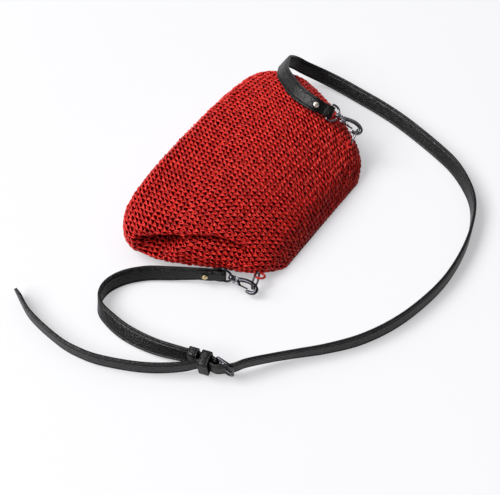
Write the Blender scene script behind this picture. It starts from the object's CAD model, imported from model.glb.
"""Looks of a crocheted crossbody pouch and its black leather strap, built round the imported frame."""

import logging
import math
from dataclasses import dataclass, field
from enum import Enum
from functools import cached_property
from typing import Sequence

import bmesh
import bpy
import numpy as np
from mathutils import Matrix, Vector


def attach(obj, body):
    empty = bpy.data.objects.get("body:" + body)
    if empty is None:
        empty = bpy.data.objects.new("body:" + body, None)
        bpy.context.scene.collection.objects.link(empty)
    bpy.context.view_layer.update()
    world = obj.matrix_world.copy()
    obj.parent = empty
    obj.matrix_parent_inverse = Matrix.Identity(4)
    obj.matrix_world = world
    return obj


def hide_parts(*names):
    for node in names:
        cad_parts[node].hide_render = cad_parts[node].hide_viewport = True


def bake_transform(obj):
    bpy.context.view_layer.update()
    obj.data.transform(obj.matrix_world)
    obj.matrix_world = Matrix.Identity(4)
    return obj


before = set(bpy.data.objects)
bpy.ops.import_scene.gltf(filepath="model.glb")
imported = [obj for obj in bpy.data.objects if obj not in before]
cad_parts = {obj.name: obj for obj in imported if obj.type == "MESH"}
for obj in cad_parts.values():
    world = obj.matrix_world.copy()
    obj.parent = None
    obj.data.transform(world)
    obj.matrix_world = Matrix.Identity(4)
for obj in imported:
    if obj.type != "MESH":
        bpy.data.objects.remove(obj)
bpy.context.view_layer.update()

LOG = logging.getLogger("crochet_pouch")
MM = 0.001
FULL_TURN = 2 * math.pi
UP = np.array([0.0, 0.0, 1.0])
# Name of the mesh attribute that says how deep in the others' shade the yarn lies.
SHADE = "shade"
# An edge of a plate that turns by more than this, in radians, is a rim to round over.
RIM_TURN = 0.9
# Points nearer than this, in metres, are welded.
WELD = 1e-6

Outline = tuple[tuple[float, float], ...]
Place = tuple[float, float, float]
Route = Sequence[tuple[float, float, float, float]]


class Hand(Enum):
    """The two ends of the strap, named by the side of the pouch they clip to."""

    RIGHT = "right"
    LEFT = "left"


class Slot(Enum):
    """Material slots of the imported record."""

    YARN = "red_yarn"
    LEATHER = "black_leather"
    METAL = "dark_metal"
    RIVET = "rivet_metal"


def unit(vectors: np.ndarray) -> np.ndarray:
    """Scales one vector, or rows of vectors, to length one."""
    return vectors / np.linalg.norm(vectors, axis=-1, keepdims=True)


def around(count: int) -> np.ndarray:
    """Angles in radians, spread evenly over a full turn."""
    return np.linspace(0, FULL_TURN, count, endpoint=False)


def distance_along(line: np.ndarray) -> np.ndarray:
    """Distance gone at each point of a line, from its first point."""
    return np.concatenate([[0.0], np.cumsum(np.linalg.norm(np.diff(line, axis=0), axis=1))])


def eased(share: np.ndarray) -> np.ndarray:
    """Smooth step from 0 to 1 of values that are held in that range."""
    held = np.clip(share, 0.0, 1.0)
    return held * held * (3.0 - 2.0 * held)


def turned(vector: np.ndarray, axis: np.ndarray, degrees: float) -> np.ndarray:
    """Turns a vector about an axis through the origin.

    Args:
        vector: The vector to turn.
        axis: The axis, of length one.
        degrees: The angle.

    Returns:
        The turned vector.
    """
    angle = math.radians(degrees)
    return (
        vector * math.cos(angle)
        + np.cross(axis, vector) * math.sin(angle)
        + axis * np.dot(axis, vector) * (1 - math.cos(angle))
    )


def hermite(
    start: np.ndarray, stop: np.ndarray, leave: np.ndarray, arrive: np.ndarray, t: np.ndarray
) -> np.ndarray:
    """A cubic between points with given slopes.

    Args:
        start: First point, or rows of points.
        stop: Last point, or rows of points.
        leave: Slope at the first point.
        arrive: Slope at the last point.
        t: Places from 0 to 1, as a column.

    Returns:
        One point for each place.
    """
    return (
        start * (2 * t**3 - 3 * t**2 + 1)
        + leave * (t**3 - 2 * t**2 + t)
        + stop * (3 * t**2 - 2 * t**3)
        + arrive * (t**3 - t**2)
    )


def linear(hex_code: str) -> tuple[float, float, float, float]:
    """Turns an sRGB hex colour into the linear colour that shaders take.

    Args:
        hex_code: Six hex digits.

    Returns:
        Linear red, green, blue and alpha.
    """
    channels = [int(hex_code[i : i + 2], 16) / 255 for i in (0, 2, 4)]
    lit = [c / 12.92 if c <= 0.04045 else ((c + 0.055) / 1.055) ** 2.4 for c in channels]
    return (lit[0], lit[1], lit[2], 1.0)


def add_node(tree: bpy.types.NodeTree, kind: str, inputs: dict | None = None, **settings) -> bpy.types.Node:
    """Adds one node to a tree.

    Args:
        tree: The node tree.
        kind: The node's type.
        inputs: Socket names or numbers, each with a value or with the socket that feeds it.
        **settings: The node's own properties.

    Returns:
        The new node.
    """
    node = tree.nodes.new(kind)
    for key, value in settings.items():
        setattr(node, key, value)
    for socket, value in (inputs or {}).items():
        if isinstance(value, bpy.types.NodeSocket):
            tree.links.new(value, node.inputs[socket])
        else:
            node.inputs[socket].default_value = value
    return node


def add_noise(
    tree: bpy.types.NodeTree, place: bpy.types.NodeSocket, size_mm: float, detail: float
) -> bpy.types.NodeSocket:
    """Adds soft noise.

    Args:
        tree: The node tree.
        place: Object coordinates, in metres.
        size_mm: Size of a patch, in mm.
        detail: Octaves of finer noise.

    Returns:
        The noise, from about 0 to 1.
    """
    inputs = {"Vector": place, "Scale": 1 / (size_mm * MM), "Detail": detail}
    return add_node(tree, "ShaderNodeTexNoise", inputs).outputs["Fac"]


def add_range(
    tree: bpy.types.NodeTree, value: bpy.types.NodeSocket, low: float, high: float
) -> bpy.types.NodeSocket:
    """Spreads a value from 0 to 1 over another range.

    Args:
        tree: The node tree.
        value: The socket to spread.
        low: What 0 becomes.
        high: What 1 becomes.

    Returns:
        The spread value.
    """
    inputs = {"Value": value, "To Min": low, "To Max": high}
    return add_node(tree, "ShaderNodeMapRange", inputs).outputs["Result"]


def add_ramp(
    tree: bpy.types.NodeTree, factor: bpy.types.NodeSocket, stops: Sequence[tuple[float, str]]
) -> bpy.types.NodeSocket:
    """Adds a colour ramp.

    Args:
        tree: The node tree.
        factor: The socket that picks the colour.
        stops: Places from 0 to 1, each with a hex colour.

    Returns:
        The ramp's colour socket.
    """
    ramp = add_node(tree, "ShaderNodeValToRGB", {"Fac": factor})
    elements = ramp.color_ramp.elements
    while len(elements) < len(stops):
        elements.new(0.5)
    for element, (place, code) in zip(elements, stops):
        element.position = place
        element.color = linear(code)
    return ramp.outputs["Color"]


@dataclass(frozen=True)
class Finish:
    """A surface finish that makes its own procedural material.

    Attributes:
        name: The material's name, which says what it is.
        colour: Base colour as sRGB hex.
        roughness: Roughness of the bare surface, from 0 for a mirror to 1 for chalk.
        metallic: 1 for metals, else 0.
        specular: Strength of the sheen; none for what should stay dark.
    """

    name: str
    colour: str
    roughness: float
    metallic: float = 0.0
    specular: float = 0.5

    def material(self) -> bpy.types.Material:
        """Finds or makes the material.

        Returns:
            The material, made once for each name.
        """
        known = bpy.data.materials.get(self.name)
        if known:
            return known
        made = bpy.data.materials.new(self.name)
        made.use_nodes = True
        shader = made.node_tree.nodes["Principled BSDF"]
        shader.inputs["Base Color"].default_value = linear(self.colour)
        shader.inputs["Roughness"].default_value = self.roughness
        shader.inputs["Metallic"].default_value = self.metallic
        shader.inputs["Specular IOR Level"].default_value = self.specular
        coords = add_node(made.node_tree, "ShaderNodeTexCoord")
        self.dress(made.node_tree, shader, coords.outputs["Object"])
        return made

    def dress(self, tree: bpy.types.NodeTree, shader: bpy.types.Node, place: bpy.types.NodeSocket) -> None:
        """Adds the finish's own detail; a plain finish has none.

        Args:
            tree: The material's node tree.
            shader: Its Principled shader.
            place: Object coordinates, in metres.
        """


@dataclass(frozen=True)
class CordYarn(Finish):
    """Glossy twisted cord: red with worn lighter stretches, and fine plies that break the highlight.

    Attributes:
        dark: Colour of the deep-dyed stretches.
        light: Colour of the rubbed stretches.
        deep: Colour of yarn that lies behind the stitches, where the sheen fades too.
        patch_mm: Size of a stretch.
        ply_mm: Size of a ply.
        ply_depth_mm: Depth of the valleys between plies.
        ply_strength: How clearly the plies show.
    """

    specular: float = 0.34
    dark: str = "A20E0A"
    light: str = "D83226"
    deep: str = "430303"
    patch_mm: float = 6.0
    ply_mm: float = 0.55
    ply_depth_mm: float = 0.35
    ply_strength: float = 0.8

    def dress(self, tree: bpy.types.NodeTree, shader: bpy.types.Node, place: bpy.types.NodeSocket) -> None:
        """Adds dye patches and plies.

        Args:
            tree: The material's node tree.
            shader: Its Principled shader.
            place: Object coordinates, in metres.
        """
        patches = add_noise(tree, place, self.patch_mm, 2.0)
        tint = add_ramp(tree, patches, [(0.3, self.dark), (0.5, self.colour), (0.72, self.light)])
        depth = add_node(tree, "ShaderNodeAttribute", attribute_name=SHADE).outputs["Fac"]
        colours = {"Factor": depth, 6: tint, 7: linear(self.deep)}
        mixed = add_node(tree, "ShaderNodeMix", colours, data_type="RGBA")
        tree.links.new(mixed.outputs[2], shader.inputs["Base Color"])
        sheen = add_range(tree, depth, self.specular, 0.0)
        tree.links.new(sheen, shader.inputs["Specular IOR Level"])
        bump = add_node(
            tree,
            "ShaderNodeBump",
            {
                "Height": add_noise(tree, place, self.ply_mm, 1.0),
                "Strength": self.ply_strength,
                "Distance": self.ply_depth_mm * MM,
            },
        )
        tree.links.new(bump.outputs["Normal"], shader.inputs["Normal"])


@dataclass(frozen=True)
class PebbledLeather(Finish):
    """Black grained leather: small pebbles that scatter the highlight, with faint scuffs.

    Attributes:
        pebble_mm: Size of a pebble of the grain.
        depth_mm: Depth of the valleys between pebbles.
        scuff_mm: Size of a scuff.
        smoother: How much glossier the least scuffed places are.
        rougher: How much duller the most scuffed places are.
    """

    specular: float = 0.3
    pebble_mm: float = 1.5
    depth_mm: float = 0.6
    scuff_mm: float = 6.25
    smoother: float = 0.07
    rougher: float = 0.1

    def dress(self, tree: bpy.types.NodeTree, shader: bpy.types.Node, place: bpy.types.NodeSocket) -> None:
        """Adds grain and scuffs.

        Args:
            tree: The material's node tree.
            shader: Its Principled shader.
            place: Object coordinates, in metres.
        """
        grain = {"Vector": place, "Scale": 1 / (self.pebble_mm * MM)}
        pebbles = add_node(tree, "ShaderNodeTexVoronoi", grain, feature="SMOOTH_F1")
        bump = add_node(
            tree,
            "ShaderNodeBump",
            {"Height": pebbles.outputs["Distance"], "Strength": 1.0, "Distance": self.depth_mm * MM},
            invert=True,
        )
        tree.links.new(bump.outputs["Normal"], shader.inputs["Normal"])
        scuffs = add_noise(tree, place, self.scuff_mm, 3.0)
        worn = add_range(tree, scuffs, self.roughness - self.smoother, self.roughness + self.rougher)
        tree.links.new(worn, shader.inputs["Roughness"])


@dataclass(frozen=True)
class Plating(Finish):
    """Plated metal: clear reflections with faint handling marks.

    Attributes:
        mark_mm: Size of a handling mark.
        smoother: How much glossier the clean places are.
        rougher: How much duller the marked places are.
    """

    mark_mm: float = 4.0
    smoother: float = 0.05
    rougher: float = 0.08

    def dress(self, tree: bpy.types.NodeTree, shader: bpy.types.Node, place: bpy.types.NodeSocket) -> None:
        """Adds handling marks to the gloss.

        Args:
            tree: The material's node tree.
            shader: Its Principled shader.
            place: Object coordinates, in metres.
        """
        marks = add_noise(tree, place, self.mark_mm, 4.0)
        worn = add_range(tree, marks, self.roughness - self.smoother, self.roughness + self.rougher)
        tree.links.new(worn, shader.inputs["Roughness"])


@dataclass(frozen=True)
class PaperTable(Finish):
    """Matt paper with a faint glow to the eye, which makes it white and leaves the object's soft shadow.

    Attributes:
        glow: Colour of the glow.
        glow_share: Share of the glow in what the eye sees, straight or in metal and glass.
    """

    glow: str = "FBFBFD"
    glow_share: float = 0.4

    def dress(self, tree: bpy.types.NodeTree, shader: bpy.types.Node, place: bpy.types.NodeSocket) -> None:
        """Adds the glow.

        Args:
            tree: The material's node tree.
            shader: Its Principled shader.
            place: Object coordinates, in metres.
        """
        glow = add_node(tree, "ShaderNodeEmission", {"Color": linear(self.glow), "Strength": 1.0})
        rays = add_node(tree, "ShaderNodeLightPath")
        seen = rays.outputs["Is Camera Ray"]
        for kind in ("Is Glossy Ray", "Is Transmission Ray"):
            either = {0: seen, 1: rays.outputs[kind]}
            seen = add_node(tree, "ShaderNodeMath", either, operation="MAXIMUM").outputs[0]
        part = add_node(tree, "ShaderNodeMath", {0: seen, 1: self.glow_share}, operation="MULTIPLY")
        both = {0: part.outputs[0], 1: shader.outputs["BSDF"], 2: glow.outputs["Emission"]}
        mix = add_node(tree, "ShaderNodeMixShader", both)
        tree.links.new(mix.outputs[0], tree.nodes["Material Output"].inputs["Surface"])


# Red cord gives the pouch its bright, knobbly surface.
RED_CORD = CordYarn("red glossy cord yarn", "C61A12", 0.36)
# The same cord where it lies deep between the rows, in the others' shade.
SHADED_CORD = CordYarn("shaded red cord yarn", "B4120B", 0.42, dark="8C0A07", light="CA1E15")
# The lining is only seen as the dark of the holes.
DARK_LINING = Finish("dark red lining cloth", "1A0303", 0.9, specular=0.0)
# Grained black leather makes the strap and keepers.
LEATHER = PebbledLeather("black pebbled leather", "050506", 0.4)
# Gunmetal plating shows as dark wire with bright lines of light.
GUNMETAL = Plating("gunmetal plating", "7C7A80", 0.08, 1.0)
# The buckle and the left clip are plated darker, and only their edges catch the light.
BLACK_NICKEL = Plating("black nickel plating", "434247", 0.1, 1.0)
# Pale steel makes the right rivet and the leaf springs catch the light.
PALE_STEEL = Plating("pale steel plating", "F0EADC", 0.42, 1.0)
# Pale gold is the left rivet's warm spot.
PALE_GOLD = Plating("pale gold plating", "C9B48C", 0.38, 1.0)
# White paper is the table, which shows nothing but the shadow.
WHITE_PAPER = PaperTable("white paper table", "D3D3D6", 0.9)


def show(
    mesh: bpy.types.Mesh, finish: Finish, body: str | None, nodes: Sequence[str] = ()
) -> bpy.types.Object:
    """Puts a mesh in the scene as a piece of the object, under the mesh's own name.

    Args:
        mesh: The mesh, in the row frame and in metres.
        finish: Its finish.
        body: The CAD body it rides on; none for a piece that bends between two.
        nodes: The CAD nodes it stands for.

    Returns:
        The new object.
    """
    mesh.polygons.foreach_set("use_smooth", np.ones(len(mesh.polygons), dtype=bool))
    mesh.materials.append(finish.material())
    obj = bpy.data.objects.new(mesh.name, mesh)
    bpy.context.scene.collection.objects.link(obj)
    if body:
        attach(obj, body)
    if nodes:
        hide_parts(*nodes)
    LOG.info("%s: %d faces on %s", mesh.name, len(mesh.polygons), body or "two bodies")
    return obj


def tubes(
    name: str, paths: Sequence[np.ndarray], radius: float, resolution: int = 1, cyclic: bool = True
) -> bpy.types.Mesh:
    """Sweeps round wire or yarn along paths.

    Args:
        name: The mesh's name.
        paths: Rows of points, in mm; a fourth column gives the share of the radius there, and a fifth how
            deep in the others' shade the yarn lies.
        radius: The tube's radius, in mm.
        resolution: Bevel resolution of the round.
        cyclic: Whether each path closes on itself.

    Returns:
        The tubes as one mesh, in metres.
    """
    curve = bpy.data.curves.new(name, "CURVE")
    curve.dimensions = "3D"
    curve.bevel_depth = radius * MM
    curve.bevel_resolution = resolution
    curve.use_fill_caps = not cyclic
    for path in paths:
        spline = curve.splines.new("POLY")
        spline.points.add(len(path) - 1)
        spline.points.foreach_set("co", np.column_stack([path[:, :3] * MM, np.ones(len(path))]).ravel())
        spline.use_cyclic_u = cyclic
        if path.shape[1] > 3:
            spline.points.foreach_set("radius", np.ascontiguousarray(path[:, 3]))
    holder = bpy.data.objects.new(name, curve)
    bpy.context.scene.collection.objects.link(holder)
    graph = bpy.context.evaluated_depsgraph_get()
    mesh = bpy.data.meshes.new_from_object(holder.evaluated_get(graph))
    bpy.data.objects.remove(holder)
    bpy.data.curves.remove(curve)
    mesh.name = name
    if paths[0].shape[1] > 4:
        deep = np.concatenate([path[:, 4] for path in paths])
        values = np.repeat(deep, len(mesh.vertices) // len(deep)).astype(np.float32)
        mesh.attributes.new(SHADE, "FLOAT", "POINT").data.foreach_set("value", values)
    return mesh


def tapered(path: np.ndarray, shares: Sequence[float]) -> np.ndarray:
    """Adds to a path a fourth column of radius shares, which are spread evenly along it."""
    places = np.linspace(0, 1, len(path))
    return np.column_stack([path, np.interp(places, np.linspace(0, 1, len(shares)), shares)])


def closed_up(name: str, work: bmesh.types.BMesh) -> bpy.types.Mesh:
    """Ends a bmesh with its faces outwards.

    Args:
        name: The mesh's name.
        work: The bmesh, which is freed.

    Returns:
        The mesh.
    """
    bmesh.ops.recalc_face_normals(work, faces=work.faces)
    mesh = bpy.data.meshes.new(name)
    work.to_mesh(mesh)
    work.free()
    return mesh


def lathed(
    name: str, outline: Sequence[tuple[float, float]], steps: int = 32, ring: bool = False
) -> bpy.types.Mesh:
    """Turns an outline about the Y axis.

    Args:
        name: The mesh's name.
        outline: Radius and height of each point, in mm.
        steps: Steps of the full turn.
        ring: Whether the outline closes on itself, for a part with a bore.

    Returns:
        The closed round part, in metres.
    """
    work = bmesh.new()
    verts = [work.verts.new((r * MM, h * MM, 0.0)) for r, h in outline]
    pairs = list(zip(verts, verts[1:]))
    if ring:
        pairs.append((verts[-1], verts[0]))
    edges = [work.edges.new(pair) for pair in pairs]
    bmesh.ops.spin(
        work,
        geom=verts + edges,
        cent=(0, 0, 0),
        axis=(0, 1, 0),
        angle=FULL_TURN,
        steps=steps,
        use_merge=True,
    )
    bmesh.ops.remove_doubles(work, verts=work.verts, dist=WELD)
    return closed_up(name, work)


def plate(
    name: str, outline: Sequence[Sequence[float]], thickness: float, round_over: float
) -> bpy.types.Mesh:
    """Cuts a flat plate in the XY plane and rounds its rims.

    Args:
        name: The mesh's name.
        outline: Corners of the plate, in mm.
        thickness: The plate's thickness, in mm, half of it on each side of the plane.
        round_over: Radius of the rounded rims, in mm.

    Returns:
        The plate, in metres.
    """
    work = bmesh.new()
    face = work.faces.new([work.verts.new((x * MM, y * MM, -thickness / 2 * MM)) for x, y in outline])
    made = bmesh.ops.extrude_face_region(work, geom=[face])
    moved = [item for item in made["geom"] if isinstance(item, bmesh.types.BMVert)]
    bmesh.ops.translate(work, verts=moved, vec=(0, 0, thickness * MM))
    bmesh.ops.recalc_face_normals(work, faces=work.faces)
    bmesh.ops.bevel(
        work,
        geom=[edge for edge in work.edges if edge.calc_face_angle(0.0) > RIM_TURN],
        offset=round_over * MM,
        offset_type="OFFSET",
        segments=3,
        profile=0.5,
        affect="EDGES",
        material=-1,
        clamp_overlap=True,
    )
    return closed_up(name, work)


def joined(name: str, meshes: Sequence[bpy.types.Mesh], place: Matrix) -> bpy.types.Mesh:
    """Puts meshes together and moves them to their place.

    Args:
        name: The mesh's name.
        meshes: The meshes, in their own frame and in metres.
        place: The frame's place.

    Returns:
        One mesh in the row frame.
    """
    work = bmesh.new()
    for mesh in meshes:
        work.from_mesh(mesh)
        bpy.data.meshes.remove(mesh)
    bmesh.ops.transform(work, matrix=place, verts=work.verts)
    made = bpy.data.meshes.new(name)
    work.to_mesh(made)
    work.free()
    return made


def placed(at: np.ndarray, x_axis: np.ndarray, y_axis: np.ndarray) -> Matrix:
    """A right-handed frame.

    Args:
        at: Its origin, in mm.
        x_axis: Its X axis.
        y_axis: A direction that its Y axis leans to.

    Returns:
        The frame as a matrix, in metres.
    """
    x = unit(np.asarray(x_axis, float))
    z = unit(np.cross(x, y_axis))
    y = np.cross(z, x)
    return Matrix([[*map(float, (x[i], y[i], z[i])), float(at[i]) * MM] for i in range(3)] + [[0, 0, 0, 1]])


def spline_through(points: Sequence[Sequence[float]], steps: int) -> np.ndarray:
    """A smooth line through points.

    Args:
        points: Points in mm.
        steps: Samples for each span.

    Returns:
        The samples, in mm.
    """
    knots = np.array(points, float)
    slopes = np.gradient(knots, axis=0)
    t = np.linspace(0, 1, steps, endpoint=False)[:, None]
    spans = [hermite(a, b, u, v, t) for a, b, u, v in zip(knots, knots[1:], slopes, slopes[1:])]
    return np.vstack([*spans, knots[-1:]])


def arc(
    centre: tuple[float, float], radius: float, start: float, stop: float, steps: int = 6
) -> list[list[float]]:
    """Points in mm on an arc in the XY plane, from one angle in degrees to another."""
    angles = np.radians(np.linspace(start, stop, steps + 1))
    return [[centre[0] + radius * math.cos(a), centre[1] + radius * math.sin(a), 0.0] for a in angles]


def rounded_loop(corners: Sequence[tuple[float, float, float]]) -> np.ndarray:
    """A closed loop in the XY plane with four rounded corners.

    Args:
        corners: Centre and radius of each round in mm, the first being the one from 0 to 90 degrees.

    Returns:
        The loop's points, in mm.
    """
    loop = []
    for quarter, (x, y, radius) in enumerate(corners):
        loop += arc((x, y), radius, 90 * quarter, 90 * quarter + 90)
    return np.array(loop)


def skinned(name: str, rings: np.ndarray, looped: bool = False) -> bpy.types.Mesh:
    """Skins a row of equal closed rings.

    Args:
        name: The mesh's name.
        rings: Stations by points by three, in mm.
        looped: Whether the last ring goes on to the first; else both ends are closed.

    Returns:
        The skin with its faces outwards, in metres.
    """
    stations, count = rings.shape[:2]
    ahead = [(s, (s + 1) % stations) for s in range(stations if looped else stations - 1)]
    faces = [
        (s * count + i, s * count + (i + 1) % count, n * count + (i + 1) % count, n * count + i)
        for s, n in ahead
        for i in range(count)
    ]
    if not looped:
        faces.append(tuple(range(count))[::-1])
        faces.append(tuple((stations - 1) * count + i for i in range(count)))
    work = bmesh.new()
    verts = [work.verts.new(p) for p in rings.reshape(-1, 3) * MM]
    for face in faces:
        work.faces.new([verts[i] for i in face])
    return closed_up(name, work)


@dataclass
class PouchForm:
    """The pouch's outer surface, in mm, with the fold that it has taken on the table.

    Attributes:
        length: From the mouth to the end wall.
        thickness: Height of the filled pouch.
        base_span: Width at the end wall.
        mouth_span: Width at the mouth.
        side_bulge: How far the sides stand out between the two.
        base_corner: Radius of the corners at the end wall.
        mouth_corner: Radius of the corners at the mouth.
        mouth_height: Height near the mouth, before the lips roll in.
        rise_length: Distance over which the top rises to its full height.
        base_rim: Radius of the end wall's rounded rim.
        rim_share: Share of the upper height that is left at that rim.
        widest_share: Share of the height at which the pouch is widest.
        flat_depth: How far the underside would go under the table, which flattens it.
        rise_fullness: Power that shapes the rise; a smaller one is fuller.
        side_fullness: The same for the sides.
        crown_fullness: The same for the top.
        floor_fullness: The same for the underside.
        lip_roll: Distance over which the mouth's lips roll in.
        lip_height: Height of the mouth's edge.
        fold_from_mouth: Distances from the mouth at which the fold's line is given.
        fold_turn: Section angles of that line, in degrees.
        depth_from_mouth: Distances from the mouth at which the fold's depth and width are given.
        fold_depth: Depths of the fold.
        fold_width: Widths of its crevice.
        fold_reach: Distance round the section for one radian.
        crevice_offset: Share of the width by which the crevice lies below the fold's line.
        crevice_share: Share of the depth that the crevice takes.
        wall_share: Share of the depth that the wall below it takes.
        wall_reach: Where below the line that wall is whole, where it starts to fade, and over how far.
        lip_share: Share of the depth by which the lip over the line stands out.
        lip_spread: How far over the line the lip is fullest, and how far it spreads.
        fold_inward: Way that the crevice and its wall go.
        fold_outward: Way that the lip goes.
    """

    length: float = 165.0
    thickness: float = 64.0
    base_span: float = 338.0
    mouth_span: float = 184.0
    side_bulge: float = 6.7
    base_corner: float = 65.0
    mouth_corner: float = 24.0
    mouth_height: float = 16.0
    rise_length: float = 90.0
    base_rim: float = 12.0
    rim_share: float = 0.45
    widest_share: float = 0.42
    flat_depth: float = 2.0
    rise_fullness: float = 0.75
    side_fullness: float = 0.8
    crown_fullness: float = 0.87
    floor_fullness: float = 0.62
    lip_roll: float = 13.0
    lip_height: float = 2.2
    fold_from_mouth: tuple[float, ...] = (30.0, 58.0, 86.0, 96.0, 112.0, 127.0, 135.0)
    fold_turn: tuple[float, ...] = (147.0, 145.6, 151.3, 153.0, 156.0, 163.0, 167.0)
    depth_from_mouth: tuple[float, ...] = (22.0, 36.0, 60.0, 80.0, 88.0, 96.0, 108.0, 122.0, 134.0)
    fold_depth: tuple[float, ...] = (0.0, 8.0, 12.0, 10.0, 6.0, 15.0, 19.0, 16.0, 0.0)
    fold_width: tuple[float, ...] = (3.5, 3.5, 4.0, 4.0, 6.0, 8.0, 9.0, 8.0, 5.0)
    fold_reach: float = 42.0
    crevice_offset: float = 0.8
    crevice_share: float = 0.9
    wall_share: float = 0.4
    wall_reach: Place = (4.0, 8.0, 32.0)
    lip_share: float = 0.4
    lip_spread: float = 5.0
    fold_inward: Place = (0.95, 0.0, -0.3)
    fold_outward: Place = (-0.75, 0.0, -0.3)

    @property
    def base_reach(self) -> float:
        """Half the height of the flat end wall, which its rounds close over."""
        crown = self.thickness * (self.widest_share + (1 - self.widest_share) * self.rim_share)
        return crown / 2

    @property
    def wall_middle(self) -> float:
        """The walk from the mouth to the middle of the end wall."""
        return self.length + self.base_reach

    def corner_cut(self, distance: float, radius: float) -> float:
        """How far a rounded corner takes the side in, at a distance from the corner's edge."""
        share = min(max((radius - distance) / radius, 0.0), 1.0)
        return radius * (1 - math.sqrt(1 - share * share))

    def ring(self, walk: float, turns: np.ndarray) -> np.ndarray:
        """One closed line of the surface.

        Args:
            walk: Distance from the mouth along the pouch; past the length it goes on over the end wall.
            turns: Section angles in radians, a quarter turn being the top.

        Returns:
            One point for each angle, in mm.
        """
        from_mouth = min(max(walk, 0.0), self.length)
        share = from_mouth / self.length
        to_base = self.length - from_mouth
        half = (self.mouth_span + (self.base_span - self.mouth_span) * share) / 2
        half += self.side_bulge * 4 * share * (1 - share)
        half -= self.corner_cut(to_base, self.base_corner) + self.corner_cut(from_mouth, self.mouth_corner)
        rise = math.sin(min(from_mouth / self.rise_length, 1.0) * math.pi / 2) ** self.rise_fullness
        crown = self.mouth_height + (self.thickness - self.mouth_height) * rise
        widest = self.mouth_height / 2 + (self.thickness * self.widest_share - self.mouth_height / 2) * rise
        rim = min(max((self.base_rim - to_base) / self.base_rim, 0.0), 1.0)
        rim_share = self.rim_share + (1 - self.rim_share) * math.sqrt(1 - rim * rim)
        roll = min(max(1 - from_mouth / self.lip_roll, 0.0), 1.0)
        lip = self.lip_height + (crown - self.lip_height) * math.sqrt(1 - roll * roll)
        widest = min(widest, lip * 0.5) if roll > 0 else widest
        above = (lip - widest) * rim_share
        below = widest + self.flat_depth
        cosine, sine = np.cos(turns), np.sin(turns)
        x = half * np.sign(cosine) * np.abs(cosine) ** self.side_fullness
        lift = np.where(sine > 0, above * np.abs(sine) ** self.crown_fullness, 0.0)
        drop = np.where(sine < 0, below * np.abs(sine) ** self.floor_fullness, 0.0)
        z = np.maximum(widest + lift - drop, 0.0)
        inset = max(walk - self.length, 0.0)
        if inset > 0:
            middle = self.base_reach
            x = x * (half - inset) / half
            z = middle + (z - middle) * (1 - inset / middle)
        points = np.column_stack([x, np.full_like(x, from_mouth - self.length / 2), z])
        return points + self.folded(from_mouth, turns)

    def crevice(self, from_mouth: float, turns: np.ndarray) -> tuple[np.ndarray, np.ndarray]:
        """Where the fold in the left side runs.

        Args:
            from_mouth: Distance from the mouth, in mm.
            turns: Section angles in radians.

        Returns:
            The distance below the fold's line in mm, and how near its crevice is from 0 to 1, for each angle.
        """
        line = math.radians(float(np.interp(from_mouth, self.fold_from_mouth, self.fold_turn)))
        width = float(np.interp(from_mouth, self.depth_from_mouth, self.fold_width))
        below = (np.mod(turns, FULL_TURN) - line) * self.fold_reach
        return below, np.exp(-(((below - self.crevice_offset * width) / width) ** 2))

    def folded(self, from_mouth: float, turns: np.ndarray) -> np.ndarray:
        """How far the fold in the left side moves the surface.

        Args:
            from_mouth: Distance from the mouth, in mm.
            turns: Section angles in radians.

        Returns:
            One move for each angle, in mm.
        """
        depth = float(np.interp(from_mouth, self.depth_from_mouth, self.fold_depth))
        below, crevice = self.crevice(from_mouth, turns)
        whole, fade, fade_length = self.wall_reach
        wall = self.wall_share * eased(below / whole) * (1 - eased((below - fade) / fade_length))
        lip = np.exp(-(((below + self.lip_spread) / self.lip_spread) ** 2)) * self.lip_share
        inward = np.outer((crevice * self.crevice_share + wall) * depth, self.fold_inward)
        return inward + np.outer(lip * depth, self.fold_outward)


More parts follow.
